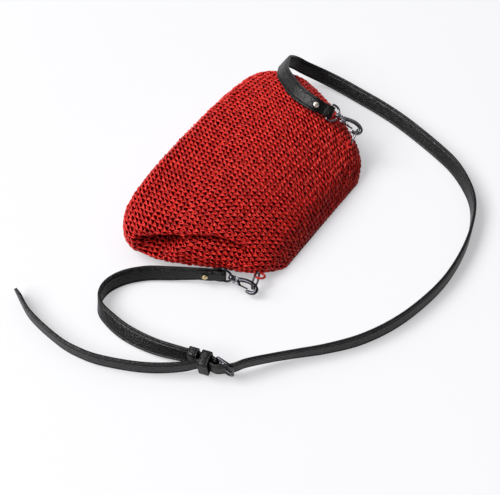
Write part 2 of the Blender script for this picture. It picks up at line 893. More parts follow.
@dataclass
class CrochetPouch:
    """The pouch's crochet: rows of coiled stitches with a chain between rows, over a dark lining.

    Attributes:
        form: The surface that the rows follow.
        stitch: Width of a stitch along its row, in mm.
        row_height: Distance between rows, in mm.
        edge_place: Distance of the mouth's edging from the mouth along the top, in mm.
        yarn_radius: Radius of the stitches' yarn, in mm.
        chain_radius: Radius of the chain's yarn, in mm.
        sink: Depth of the yarn's midline under the surface, in mm.
        reach: Half height of a stitch, in mm.
        loft: Half thickness of the coil, in mm.
        front_share: Share of a stitch's path before it goes on to the next.
        slant: Lean of a stitch's front leg, as a share of its width.
        spread: Lean of the V's two legs away from that, as a share of its width.
        leg_gap: Half the gap between the two legs, as a share of the width.
        swell: How much fatter the yarn is in front than behind, as a share of its radius.
        uneven_size: Unevenness of a stitch's height and thickness, in mm.
        uneven_row: Unevenness of its place across the row, in mm.
        uneven_lean: Unevenness of its lean and of its place along the row, as a share of its width.
        uneven_yarn: Unevenness of its yarn, as a share of the radius.
        uneven_shade: Unevenness of its shade.
        shade_from: Where on its way to the back the yarn comes into the others' shade.
        deepest: The strongest shade.
        fold_shade: How much darker the yarn is in the fold's crevice.
        fold_full: Depth of the fold that shades the yarn in full, in mm.
        chain_sway: How far the chain swings across its line, in mm.
        chain_uneven: Unevenness of that, in mm.
        chain_loft: How far it swings off the surface, in mm.
        chain_sink: How much deeper than a stitch it lies, in mm.
        chain_start: Where in its swing it starts, in radians.
        coil_steps: Points of a stitch.
        chain_steps: Points of a chain's link.
        round_samples: Samples of the surface round one row.
        lines_out: Lines of the surface to each side of a row, one for each mm.
        whip_share: Whip stitches of the seam for each stitch.
        whip_steps: Points of a whip stitch.
        wall_gap: Gap that the rows leave in the middle of the end wall, in mm.
        lining_depth: Depth of the lining under the surface, in mm.
        lining_gap: Gap that the lining leaves in the middle of the end wall, in mm.
        lining_floor: Height of the lining over the table, in mm.
        lining_step: Distance of the lining's edge from the mouth, and of its samples, in mm.
        lining_rings: Rings of the lining's mesh.
        lining_points: Points of each ring.
        groups: Pieces that the rows are shared out to.
        seed: Seed of the hand-made unevenness.
    """

    form: PouchForm = field(default_factory=PouchForm)
    stitch: float = 5.3
    row_height: float = 5.7
    edge_place: float = 0.6
    yarn_radius: float = 0.71
    chain_radius: float = 0.85
    sink: float = 0.7
    reach: float = 2.5
    loft: float = 0.9
    front_share: float = 0.55
    slant: float = -0.13
    spread: float = 0.15
    leg_gap: float = 0.12
    swell: float = 0.26
    uneven_size: float = 0.3
    uneven_row: float = 0.35
    uneven_lean: float = 0.05
    uneven_yarn: float = 0.06
    uneven_shade: float = 0.1
    shade_from: float = 0.3
    deepest: float = 1.3
    fold_shade: float = 0.45
    fold_full: float = 12.0
    chain_sway: float = 0.8
    chain_uneven: float = 0.12
    chain_loft: float = 0.5
    chain_sink: float = 0.5
    chain_start: float = 0.9
    coil_steps: int = 8
    chain_steps: int = 6
    round_samples: int = 900
    lines_out: int = 5
    whip_share: float = 1.5
    whip_steps: int = 9
    wall_gap: float = 1.5
    lining_depth: float = 2.7
    lining_gap: float = 4.0
    lining_floor: float = 1.0
    lining_step: float = 1.5
    lining_rings: int = 110
    lining_points: int = 160
    groups: int = 4
    seed: int = 7

    @cached_property
    def top_line(self) -> tuple[np.ndarray, np.ndarray]:
        """Walks from the mouth, and the distance along the top at each, in mm."""
        walks = np.linspace(0.0, self.form.wall_middle - self.wall_gap, 800)
        top = np.array([math.pi / 2])
        return walks, distance_along(np.array([self.form.ring(w, top)[0] for w in walks]))

    def walk_at(self, place: float) -> float:
        """The walk from the mouth to a place, which is given as its distance along the top, in mm."""
        walks, gone = self.top_line
        return float(np.interp(place, gone, walks))

    def laid(self, place: float, along: np.ndarray, across: np.ndarray, out: np.ndarray) -> np.ndarray:
        """Lays yarn points on a row, so that they follow the surface.

        Args:
            place: The row's distance from the mouth along the top, in mm.
            along: Places round the row, as shares of one round.
            across: Moves towards the mouth, in mm.
            out: Moves off the surface, in mm.

        Returns:
            The points in mm, with the fold's shade at each.
        """
        turns = around(self.round_samples) + math.pi / 2
        middle = self.lines_out
        moves = range(-middle, middle + 1)
        lines = np.array([self.form.ring(self.walk_at(place - move), turns) for move in moves])
        here, towards = lines[middle], unit(lines[middle + 1] - lines[middle - 1])
        run = unit(np.roll(here, -3, axis=0) - np.roll(here, 3, axis=0))
        normal = unit(np.cross(run, towards))
        gone = distance_along(np.vstack([here, here[:1]]))
        index = np.interp(np.mod(along, 1.0), gone / gone[-1], np.arange(len(gone)))
        first = index.astype(int) % len(turns)
        second, part = (first + 1) % len(turns), np.mod(index, 1.0)[:, None]
        level = np.clip(across + middle, 0, 2 * middle - 0.01)
        low, rise = level.astype(int), np.mod(level, 1.0)[:, None]
        near = lines[low, first] * (1 - part) + lines[low, second] * part
        far = lines[low + 1, first] * (1 - part) + lines[low + 1, second] * part
        points = near * (1 - rise) + far * rise + normal[first] * (out - self.sink)[:, None]
        points[:, 2] = np.maximum(points[:, 2], self.yarn_radius)
        walk, form = self.walk_at(place), self.form
        pressed = float(np.interp(walk, form.depth_from_mouth, form.fold_depth)) / self.fold_full
        shade = form.crevice(walk, turns)[1][first] * min(pressed, 1.0) * self.fold_shade
        return np.column_stack([points, shade])

    def stitches_round(self, place: float) -> int:
        """Counts the stitches of one row.

        Args:
            place: The row's distance from the mouth along the top, in mm.

        Returns:
            The count.
        """
        line = self.form.ring(self.walk_at(place), around(400))
        length = float(np.linalg.norm(np.roll(line, -1, axis=0) - line, axis=1).sum())
        return max(round(length / self.stitch), 6)

    def coil(self, place: float, side: float, dice: np.random.Generator) -> np.ndarray:
        """Half of a row of V stitches: each leg climbs the front, drops behind it, and goes on to the next.

        Args:
            place: The row's distance from the mouth along the top, in mm.
            side: -1 for the V's one leg, 1 for its other.
            dice: Source of the hand-made unevenness.

        Returns:
            The yarn's closed path in mm, with the yarn's share of its radius and its shade.
        """
        count = self.stitches_round(place)
        turn = np.arange(count * self.coil_steps) / self.coil_steps
        stage = np.mod(turn, 1.0)
        climb, front = np.cos(stage * FULL_TURN), np.sin(stage * FULL_TURN)
        each = np.repeat(dice.normal(0, 1, (count, 4)), self.coil_steps, axis=0)
        across = climb * (self.reach + self.uneven_size * each[:, 0]) + self.uneven_row * each[:, 3]
        out = front * (self.loft + self.uneven_size * each[:, 1])
        lean = self.slant + self.spread * side + self.uneven_lean * each[:, 0]
        passed = eased((stage - self.front_share) / (1 - self.front_share)) - lean * climb
        along = (np.floor(turn) + passed + self.leg_gap * side + self.uneven_lean * each[:, 2]) / count
        fat = 1 + self.swell * front + self.uneven_yarn * each[:, 1]
        deep = eased(self.shade_from - front) + self.uneven_shade * np.abs(each[:, 3])
        points = self.laid(place, along, across, out)
        return np.column_stack([points[:, :3], fat, np.clip(deep + points[:, 3], 0, self.deepest)])

    def chain(self, place: float, dice: np.random.Generator) -> np.ndarray:
        """The strand that runs along the top of a row.

        Args:
            place: The row's edge's distance from the mouth along the top, in mm.
            dice: Source of the hand-made unevenness.

        Returns:
            The strand's closed path in mm, with the yarn's share of its radius and its shade.
        """
        count = self.stitches_round(place)
        turn = np.arange(count * self.chain_steps) / self.chain_steps
        swing = turn * FULL_TURN + self.chain_start
        each = np.repeat(dice.normal(0, 1, count), self.chain_steps)
        across = np.cos(swing) * (self.chain_sway + self.chain_uneven * each)
        out = np.sin(swing) * self.chain_loft - self.chain_sink
        points = self.laid(place, turn / count, across, out)
        return np.column_stack([points[:, :3], np.ones(len(points)), points[:, 3]])

    def seam(self) -> np.ndarray:
        """The whip stitch that closes the end wall along its middle.

        Returns:
            The yarn's path, in mm.
        """
        edge = self.form.ring(self.form.wall_middle - self.wall_gap, np.array([0.0, math.pi]))
        count = round(float(edge[0, 0] - edge[1, 0]) / self.stitch * self.whip_share)
        turn = np.linspace(0, count, count * self.whip_steps + 1)
        middle = edge[0] + np.outer(turn / count, edge[1] - edge[0])
        round_yarn = np.outer(np.cos(turn * FULL_TURN), [0.3, 1.0, 0.0]) * self.loft
        return middle + round_yarn + np.outer(np.sin(turn * FULL_TURN), [0.0, 0.0, self.reach])

    def lining(self) -> bpy.types.Mesh:
        """The dark cloth under the stitches.

        Returns:
            A closed shell, in metres.
        """
        turns, step = around(self.lining_points), self.lining_step
        rings = []
        for walk in np.linspace(step, self.form.wall_middle - self.lining_gap, self.lining_rings):
            here = self.form.ring(walk, turns)
            towards = unit(self.form.ring(max(walk - step, 0.0), turns) - self.form.ring(walk + step, turns))
            run = unit(np.roll(here, -1, axis=0) - np.roll(here, 1, axis=0))
            inner = here + unit(np.cross(towards, run)) * self.lining_depth
            inner[:, 2] = np.maximum(inner[:, 2], self.lining_floor)
            rings.append(inner)
        return skinned("pouch_lining", np.array(rings))

    def knit(self, name: str, places: Sequence[float], dice: np.random.Generator) -> None:
        """Makes rows of V stitches as one piece.

        Args:
            name: The piece's name.
            places: Each row's distance from the mouth along the top, in mm.
            dice: Source of the hand-made unevenness.
        """
        legs = [self.coil(place, side, dice) for place in places for side in (-1.0, 1.0)]
        show(tubes(name, legs, self.yarn_radius, 0), RED_CORD, "bag")

    def build(self) -> None:
        """Makes the lining and the rows, and puts them in place of the plain pouch."""
        dice = np.random.default_rng(self.seed)
        length = self.top_line[1][-1]
        count = round(length / self.row_height)
        rows = (np.arange(count) + 0.5) * length / count
        edges = (rows[1:] + rows[:-1]) / 2
        show(self.lining(), DARK_LINING, "bag", ["pouch_body"])
        for group in range(self.groups):
            self.knit(f"pouch_stitches_{group + 1}", rows[group :: self.groups], dice)
        chains = [self.chain(place, dice) for place in edges]
        show(tubes("pouch_chains", chains, self.chain_radius, 0), SHADED_CORD, "bag")
        seam = tubes("pouch_base_seam", [self.seam()], self.yarn_radius, 1, False)
        show(seam, RED_CORD, "bag")
        self.knit("pouch_mouth_edge", [self.edge_place], dice)


@dataclass(frozen=True)
class HookSeat:
    """Where a hook sits, in mm, and how the strap leaves its loop.

    Attributes:
        hand: Which end of the strap it is.
        at: The swivel's place.
        axis: From the strap towards the ring.
        gate_side: The side its gate is on.
        swivel_turn: How far the loop is turned on the swivel, in degrees.
        strap_pitch: How far the strap is turned about the loop's bar, in degrees.
        face_sign: Which face the strap folds to.
        ring_reach: 1 if the ring lies to the gate's side, -1 if to the other.
        loop_turn: How far round the ring its yarn loop is, in degrees.
        sewn_radius: Radius of that yarn loop.
        loop_length: From the swivel to the loop's bar.
    """

    hand: Hand
    at: Place
    axis: Place
    gate_side: Place
    swivel_turn: float
    strap_pitch: float
    face_sign: float
    ring_reach: float
    loop_turn: float
    sewn_radius: float
    loop_length: float = 11.0

    @property
    def ahead_axis(self) -> np.ndarray:
        """The hook's axis with length one."""
        return unit(np.array(self.axis))

    @property
    def side(self) -> np.ndarray:
        """The gate's side, square to the axis."""
        side = np.array(self.gate_side)
        return unit(side - self.ahead_axis * np.dot(side, self.ahead_axis))

    @property
    def bar(self) -> np.ndarray:
        """The middle of the loop's bar, in mm."""
        return np.array(self.at) - self.ahead_axis * self.loop_length

    @property
    def width(self) -> np.ndarray:
        """Along the loop's bar, across the strap."""
        return turned(-self.side, self.ahead_axis, self.swivel_turn)

    @property
    def ahead(self) -> np.ndarray:
        """The way the strap leaves the bar."""
        return turned(-self.ahead_axis, self.width, self.strap_pitch)

    @property
    def face(self) -> np.ndarray:
        """Off the strap's outer face."""
        return np.cross(self.width, self.ahead) * self.face_sign

    @property
    def frame(self) -> Matrix:
        """The hook's own frame: X to the gate, Y along the axis from the swivel."""
        return placed(np.array(self.at), self.side, self.ahead_axis)


RIGHT_SEAT = HookSeat(
    hand=Hand.RIGHT,
    at=(99.9, -39.8, 55.1),
    axis=(0.235, -0.926, -0.299),
    gate_side=(-0.801, 0.0, -0.598),
    swivel_turn=0.0,
    strap_pitch=12.0,
    face_sign=1.0,
    ring_reach=1.0,
    loop_turn=0.0,
    sewn_radius=3.0,
)
LEFT_SEAT = HookSeat(
    hand=Hand.LEFT,
    at=(-121.2, -50.2, 12.6),
    axis=(0.168, -0.986, 0.0),
    gate_side=(-0.768, -0.131, -0.636),
    swivel_turn=50.0,
    strap_pitch=26.0,
    face_sign=-1.0,
    ring_reach=-1.0,
    loop_turn=60.0,
    sewn_radius=5.2,
)


@dataclass(frozen=True)
class BuckleSeat:
    """Where the buckle lies, in mm.

    Attributes:
        at: The middle of its heel bar.
        along: From the frame's open side towards the heel.
        lean: How far the strap leans over there, in degrees.
    """

    at: Place = (-217.7, -99.2, 13.6)
    along: Place = (-0.24, 0.97, 0.0)
    lean: float = 12.0

    @property
    def ahead(self) -> np.ndarray:
        """Along the strap, with length one."""
        return unit(np.array(self.along))

    @property
    def across(self) -> np.ndarray:
        """Across the strap."""
        side = np.cross(UP, self.ahead)
        lean = math.radians(self.lean)
        return UP * math.cos(lean) + side * math.sin(lean)

    @property
    def face(self) -> np.ndarray:
        """Off the strap's face."""
        return np.cross(self.across, self.ahead)

    @property
    def frame(self) -> Matrix:
        """The buckle's own frame: X along the strap, Y off its face."""
        return placed(np.array(self.at), self.ahead, self.face)

    def point(self, along: float, out: float) -> np.ndarray:
        """A place in mm, by its distance along the strap and off the heel bar."""
        return np.array(self.at) + self.ahead * along + self.face * out


BUCKLE = BuckleSeat()


@dataclass
class Strap:
    """A leather strap that is folded round a hook's loop and then lies on edge on the table.

    Attributes:
        name: The piece's name.
        node: The CAD strap that it stands for.
        seat: The hook that it starts at.
        route: Places with the roll of the strap in degrees: x, y and z in mm.
        ending: Places after the route that carry the buckle's lean.
        tail: Places after that, with rolls, for a strap that goes on.
        pointed: Whether the far end is cut to a point.
        finished: 1 or -1, the side of the sweep that is the finished face.
        width: Width of the strap, in mm.
        thickness: Thickness of the strap, in mm.
        end_width: Width where it is folded round the loop, in mm.
        flare: Share of the way from that to the full width at the end of the fold.
        lap: Length of the folded lap, in mm.
        bar_radius: Radius of the loop's bar, in mm.
        bar_gap: Gap between the bar and the leather, in mm.
        step: Longest step of the strap's middle line, in mm.
        tip_length: Length of the pointed end, in mm.
        tip_fullness: Power that shapes the point.
        tip_blunt: Share of the width that is left at its end.
        twist_length: Distance over which the roll is evened out, in mm.
        skive_length: Length over which the lap's end is thinned, in mm.
        skive_share: Share of the thickness that is left there.
        cord_out: Distance of the cord's start off the loop's bar, in mm.
        cord_every: Steps of the middle line for one of the cord's.
    """

    name: str
    node: str
    seat: HookSeat
    route: Route
    ending: Sequence[tuple[float, float]]
    tail: Route = ()
    pointed: bool = False
    finished: float = 1.0
    width: float = 17.0
    thickness: float = 3.0
    end_width: float = 13.2
    flare: float = 0.6
    lap: float = 23.5
    bar_radius: float = 1.2
    bar_gap: float = 0.4
    step: float = 2.2
    tip_length: float = 15.0
    tip_fullness: float = 0.7
    tip_blunt: float = 0.16
    twist_length: float = 12.0
    skive_length: float = 12.0
    skive_share: float = 0.3
    cord_out: float = 3.0
    cord_every: int = 3

    def fold(self) -> list[tuple[float, float]]:
        """The fold round the loop's bar.

        Returns:
            Distances in mm of its middle line from the bar, along the strap and off its face.
        """
        half = self.thickness / 2
        bend = self.bar_radius + self.bar_gap + half
        slant, shoulder = bend * 0.71, bend * 0.86
        under = [(self.lap, -0.3 * half), (18, -0.7 * half), (11, -half), (6.6, -half - 0.1)]
        round_bar = [(3.2, -shoulder), (0, -bend), (-slant, -slant), (-bend, 0.0)]
        round_bar += [(-slant, slant), (0, bend), (3.2, shoulder)]
        over = [(6.6, half + 0.1), (11, half), (18, half)]
        return [*under, *round_bar, *over]

    def stations(self) -> tuple[np.ndarray, np.ndarray, np.ndarray]:
        """Control places of the strap's middle line.

        Returns:
            Places in mm, the direction across the strap at each, and the width at each.
        """
        seat, fold = self.seat, self.fold()
        places = [seat.bar + seat.ahead * e + seat.face * f for e, f in fold]
        across = [seat.width for _ in fold]
        widths = [self.end_width] * (len(fold) - 1)
        widths.append(self.end_width + (self.width - self.end_width) * self.flare)
        rolled = [(np.array(r[:3]), r[3]) for r in self.route]
        rolled += [(BUCKLE.point(a, o), BUCKLE.lean) for a, o in self.ending]
        rolled += [(np.array(r[:3]), r[3]) for r in self.tail]
        middle = np.array([*places, *[p for p, _ in rolled]])
        heading = unit(np.gradient(middle, axis=0))
        for way, (_, roll) in zip(heading[len(fold) :], rolled):
            left = unit(np.cross(UP, way))
            above = np.cross(way, left)
            angle = math.radians(roll)
            across.append(above * math.cos(angle) + left * math.sin(angle))
            widths.append(self.width)
        return middle, np.array(across), np.array(widths)

    def line(self) -> tuple[np.ndarray, np.ndarray, np.ndarray, np.ndarray]:
        """The strap's middle line, close enough for a smooth skin.

        Returns:
            Places in mm, directions across, widths, and the distance gone along the line.
        """
        places, across, widths = self.stations()
        knots = np.concatenate([[0.0], np.cumsum(np.linalg.norm(np.diff(places, axis=0), axis=1) ** 0.5)])
        samples = []
        for start, stop, a, b in zip(knots, knots[1:], places, places[1:]):
            count = max(math.ceil(np.linalg.norm(b - a) / self.step), 2)
            samples.extend(np.linspace(start, stop, count, endpoint=False))
        samples = np.array([*samples, knots[-1]])
        slopes = np.gradient(places, knots, axis=0)
        found = np.clip(np.searchsorted(knots, samples, side="right") - 1, 0, len(knots) - 2)
        span = (knots[found + 1] - knots[found])[:, None]
        t = ((samples - knots[found])[:, None]) / span
        leave, arrive = slopes[found] * span, slopes[found + 1] * span
        smooth = hermite(places[found], places[found + 1], leave, arrive, t)
        gone = distance_along(smooth)
        sides = np.column_stack([np.interp(samples, knots, across[:, i]) for i in range(3)])
        near = np.exp(-(((gone[:, None] - gone[None, :]) / self.twist_length) ** 2))
        near *= np.gradient(gone)[None, :]
        sides = near @ sides / near.sum(axis=1)[:, None]
        return smooth, unit(sides), np.interp(samples, knots, widths), gone

    def section(self) -> np.ndarray:
        """The strap's section, with a crease pressed in near both edges of each face.

        Returns:
            Points across and off the face, for a strap of full width, in mm.
        """
        w, h = self.width / 2, self.thickness / 2
        edge = [(-w, h - 0.75), (-w + 0.25, h - 0.25), (-w + 0.75, h), (-w + 1.7, h + 0.05)]
        crease = [(-w + 2.1, h - 0.3), (-w + 2.5, h - 0.8), (-w + 2.9, h - 0.3), (-w + 3.3, h + 0.05)]
        half = [*edge, *crease, (-w / 2, h + 0.1)]
        face = [*half, (0.0, h + 0.12), *[(-p, q) for p, q in reversed(half)]]
        return np.array(face + [(-p, -q) for p, q in face])

    def build(self, with_pieces: Sequence[bpy.types.Object], far_end: str) -> bpy.types.Object:
        """Args:
            with_pieces: Pieces that are fixed to it.
            far_end: What its far end is.

        Returns:
            The strap.
        """
        middle, across, widths, gone = self.line()
        if self.pointed:
            cut = np.clip((gone[-1] - gone) / self.tip_length, 0.0, 1.0)
            widths = widths * np.maximum(cut**self.tip_fullness, self.tip_blunt)
        ahead = unit(np.gradient(middle, axis=0))
        across = unit(across - ahead * np.sum(across * ahead, axis=1)[:, None])
        out = np.cross(ahead, across) * self.finished
        section = self.section()
        skived = self.skive_share + (1 - self.skive_share) * eased(gone / self.skive_length)
        rings = (
            middle[:, None, :]
            + across[:, None, :] * (section[None, :, 0] * (widths / self.width)[:, None])[:, :, None]
            + out[:, None, :] * (section[None, :, 1] * skived[:, None])[:, :, None]
        )
        strap = show(skinned(self.name, rings), LEATHER, "bag", [self.node])
        return strap


# The long strap's lie from the right clip, over the pouch and round the table to the buckle.
LONG_ROUTE = (
    (94, 8, 69.5, -46), (102.4, 22.3, 68, -42), (112.2, 34.9, 65, -42), (121.8, 44.4, 61, -43),
    (136, 53, 54.5, -41), (157, 62, 43, -30), (171, 60, 32, -12), (178, 49, 23.5, 8), (185, 31, 15.5, 20),
    (187, 5, 11, 26), (185, -21, 9.2, 28), (181, -49, 8.9, 28), (174, -80, 8.9, 28), (155, -136, 9, 26),
    (144, -160, 9.2, 22), (129, -181, 9.3, 16), (111, -199, 9.4, 10), (91, -211, 9.4, 6), (50, -224, 9.2, 1),
    (-1, -229, 9.1, 0), (-44, -224, 9.1, 0), (-83, -213, 9.1, 0), (-117, -196, 9.3, 2), (-145, -174, 9.8, 8),
    (-166, -154, 10.8, 12), (-184, -137.5, 12, 14),
)
# Under the end bar, over the heel and through both keepers.
LONG_BUCKLE = ((-24, -6.4), (-16, 0.35), (-8, 4.18), (0, 7.1), (6.5, 5.85), (16.5, 6.35), (19.5, 7.25))
# On past the keepers to the free end.
LONG_TAIL = (
    (-237, -75, 11.8, 9), (-251, -55, 10.2, 7), (-262, -34, 9.4, 6), (-275, 2, 9.2, 6), (-278, 21, 9.2, 6),
    (-278, 42, 9.2, 6), (-267, 90, 9.2, 4), (-256, 111, 9.2, 3), (-249.5, 123, 9.2, 3),
)
# The short strap's lie from the left clip to the buckle.
SHORT_ROUTE = (
    (-148, 4, 10.8, -10), (-162, 27, 9.7, -18), (-180, 43, 9.4, -20), (-198, 49, 9.3, -12),
    (-213, 46, 9.3, 0), (-223, 37, 9.2, 14), (-229, 21, 8.9, 28), (-233, 1, 8.7, 36), (-233.5, -21, 9, 34),
    (-232, -41, 10.6, 26),
)
# Through the fixed keeper to the heel bar.
SHORT_BUCKLE = ((36, 1.5), (22, 1.5), (7, 1.6), (4, 2.6), (0.5, 3.4))


@dataclass
class ClipSet:
    """One end's metalwork: ring, yarn loop, swivel loop, hook, gate, pin, leaf spring and rivet.

    Attributes:
        seat: Where the hook sits.
        metal: Plating of the hook and ring.
        rivet_finish: Plating of the rivet.
        ring_radius: Mean radius of the ring, in mm.
        ring_wire: Radius of the ring's wire, in mm.
        ring_pass: Where the ring passes the hook: to the gate's side and along the axis, in mm.
        sewn_overlap: How far the yarn loop reaches past the ring's wire, in mm.
        sewn_ply: Radius of one of its two plies, in mm.
        sewn_twine: Distance of a ply from the middle of the yarn, in mm.
        sewn_twist: Turns of the plies for each mm of the loop's radius.
        loop_wire: Radius of the swivel loop's wire, in mm.
        loop_corner: Radius of the loop's corners, in mm.
        loop_shoulder: How far the loop's sides go straight on before they bend in, in mm.
        loop_neck: The point that the sides then bend towards, in mm.
        bar_half: Half length of the loop's bar, in mm.
        boss: Radius and height of the points of the loop's bored boss, in mm.
        post: The same for the hook's headed post and collar.
        pin: The same for the gate's pin.
        cap: The same for a rivet's domed cap.
        rivet_shank: Radius of the rivet between its caps, in mm.
        rivet_setback: From the loop's bar to the rivet, in mm.
        spine: The hook's spine in its own frame, in mm.
        spine_radius: Radius of the spine, in mm.
        spine_taper: Shares of that radius along the spine.
        cheek_thickness: Thickness of the cheeks that hold the pin, in mm.
        pivot: The gate's pin in the hook's frame, in mm.
        gate_from: Where the gate's plate starts, in mm.
        gate_to: Where it ends, in mm.
        gate_thickness: Thickness of the plate, in mm.
        ear_offset: Distance of the gate's ears from its middle, in mm.
        ear_thickness: Thickness of an ear, in mm.
        ear_radius: Radius of an ear round the pin, in mm.
        leaf: The gate's leaf spring: its foot, the point it bends towards, and its end, in mm.
        leaf_width: Width of the leaf, in mm.
    """

    seat: HookSeat
    metal: Finish
    rivet_finish: Finish
    ring_radius: float = 9.0
    ring_wire: float = 1.05
    ring_pass: tuple[float, float] = (4.1, 24.2)
    sewn_overlap: float = 3.0
    sewn_ply: float = 0.7
    sewn_twine: float = 0.55
    sewn_twist: float = 1.6
    loop_wire: float = 1.25
    loop_corner: float = 1.9
    loop_shoulder: float = 4.5
    loop_neck: tuple[float, float] = (5.9, -0.6)
    bar_half: float = 8.8
    boss: Outline = (
        (1.75, -2.0), (2.5, -2.0), (2.8, -1.85), (2.95, -1.5),
        (2.95, 1.5), (2.8, 1.85), (2.5, 2.0), (1.75, 2.0),
    )
    post: Outline = (
        (0, -3.55), (1.2, -3.5), (1.9, -3.2), (2.2, -2.8), (2.2, -2.4), (1.4, -2.4), (1.4, 2.4), (2.4, 2.4),
        (2.75, 2.7), (2.8, 3.1), (2.75, 3.6), (2.3, 4.1), (2.1, 4.9), (0, 5.5),
    )
    pin: Outline = ((0, -3.6), (0.5, -3.5), (0.7, -3.2), (0.7, 3.2), (0.5, 3.5), (0, 3.6))
    cap: Outline = ((2.9, 3.35), (3.1, 3.5), (3.05, 3.75), (2.7, 4.15), (2.0, 4.5), (1.1, 4.7), (0, 4.75))
    rivet_shank: float = 1.3
    rivet_setback: float = 17.0
    spine: Outline = (
        (-0.5, 6.5), (-1.1, 11.0), (-1.5, 15.0), (-1.25, 20.0), (0.45, 24.9), (3.6, 28.1), (7.2, 26.9),
        (8.55, 23.1), (8.2, 19.6), (7.85, 17.9),
    )
    spine_radius: float = 2.2
    spine_taper: tuple[float, ...] = (1, 1, 1, 1, 1, 0.98, 0.96, 0.95, 0.94, 0.9, 0.82, 0.48)
    cheek_thickness: float = 4.2
    pivot: tuple[float, float] = (1.5, 7.4)
    gate_from: tuple[float, float] = (3.75, 2.7)
    gate_to: tuple[float, float] = (5.6, 18.9)
    gate_thickness: float = 1.3
    ear_offset: float = 2.85
    ear_thickness: float = 0.8
    ear_radius: float = 1.9
    leaf: Outline = ((1.6, 11.3), (3.2, 11.1), (3.72, 14.2))
    leaf_width: float = 2.4

    def name(self, part: str) -> str:
        """A part's name with its hand."""
        return f"{self.seat.hand.value}_{part}"

    def show_metal(self, mesh: bpy.types.Mesh, body: str, node: str) -> None:
        """Shows a plated part on a body of this hand, in place of a node of this hand."""
        show(mesh, self.metal, self.name(body), [self.name(node)])

    def build(self) -> list[bpy.types.Object]:
        """Makes every part of the set.

        Returns:
            The parts that are fixed to the strap itself.
        """
        self.build_ring()
        self.build_loop()
        self.build_hook()
        self.build_gate()
        self.build_spring()
        return [self.build_rivet()]

    def build_ring(self) -> None:
        """Makes the round ring and the twisted yarn that sews it to the pouch."""
        seat, radius = self.seat, self.ring_radius
        normal = np.cross(seat.side, seat.ahead_axis)
        away = seat.side * seat.ring_reach
        past = np.array(seat.at) + seat.ahead_axis * self.ring_pass[1] + seat.side * self.ring_pass[0]
        middle = past + away * radius
        turn = around(56)
        line = middle + np.outer(np.cos(turn), away) * radius + np.outer(np.sin(turn), normal) * radius
        self.show_metal(tubes(self.name("ring_wire"), [line], self.ring_wire, 4), "ring", "ring")
        angle = math.radians(seat.loop_turn)
        spoke = away * math.cos(angle) - normal * math.sin(angle)
        side = np.cross(spoke, seat.ahead_axis)
        sewn = middle + spoke * (radius + seat.sewn_radius - self.sewn_overlap)
        turn = around(96)
        plies = []
        for start in (0.0, math.pi):
            twist = turn * round(seat.sewn_radius * self.sewn_twist) + start
            reach = seat.sewn_radius + self.sewn_twine * np.cos(twist)
            ply = sewn + np.outer(np.cos(turn) * reach, spoke)
            ply += np.outer(np.sin(turn) * reach, seat.ahead_axis)
            plies.append(ply + np.outer(self.sewn_twine * np.sin(twist), side))
        yarn = tubes(self.name("ring_yarn"), plies, self.sewn_ply, 2)
        show(yarn, SHADED_CORD, "bag", [self.name("ring_loop")])

    def build_loop(self) -> None:
        """Makes the wire loop that the strap is folded round, with its bored boss."""
        half, bar, corner = self.bar_half, -self.seat.loop_length, self.loop_corner
        t = np.linspace(0, 1, 14)[:, None]
        foot = np.array([half, bar + corner])
        bend = np.array([half, bar + corner + self.loop_shoulder])
        neck, top = np.array(self.loop_neck), np.array([0.0, 0.0])
        bow = foot * (1 - t) ** 3 + 3 * bend * t * (1 - t) ** 2 + 3 * neck * t**2 * (1 - t) + top * t**3
        right = [[x, y, 0.0] for x, y in bow]
        left = [[-x, y, 0.0] for x, y in reversed(bow[:-1])]
        path = arc((half - corner, bar + corner), corner, -90, 0)[:-1] + right + left
        path += arc((-half + corner, bar + corner), corner, 180, 270)[1:]
        path += [[x, bar, 0.0] for x in np.linspace(-half + corner, half - corner, 8)[1:-1]]
        wire = tubes("loop_wire", [np.array(path)], self.loop_wire, 3)
        boss = lathed("boss", self.boss, ring=True)
        turn = Matrix.Rotation(math.radians(self.seat.swivel_turn), 4, "Y")
        mesh = joined(self.name("loop_and_boss"), [wire, boss], self.seat.frame @ turn)
        self.show_metal(mesh, "loop", "swivel_loop")

    def build_hook(self) -> None:
        """Makes the hook: headed post, collar, cheeks and the bow that tapers to its tip, with the pin."""
        x, y = self.pivot
        outer = [(-2.4, 4.0), (2.2, 4.0), (3.1, 5.6), (3.1, y), (2.7, y + 1.4), (1.7, y + 2.2)]
        inner = [(0.9, y + 3.2), (0.6, y + 4.2), (-2.6, y + 4.2), (-2.6, y)]
        post = lathed("post", self.post)
        cheeks = plate("cheeks", outer + inner, self.cheek_thickness, 0.7)
        line = tapered(spline_through([(a, b, 0.0) for a, b in self.spine], 5), self.spine_taper)
        bow = tubes("bow", [line], self.spine_radius, 4, False)
        casting = joined(self.name("hook_casting"), [post, cheeks, bow], self.seat.frame)
        self.show_metal(casting, "hook", "hook_body")
        turn = Matrix.Translation((x * MM, y * MM, 0)) @ Matrix.Rotation(math.pi / 2, 4, "X")
        steel = joined(self.name("pin_steel"), [lathed("pin", self.pin, 20)], self.seat.frame @ turn)
        self.show_metal(steel, "hook", "gate_pin")

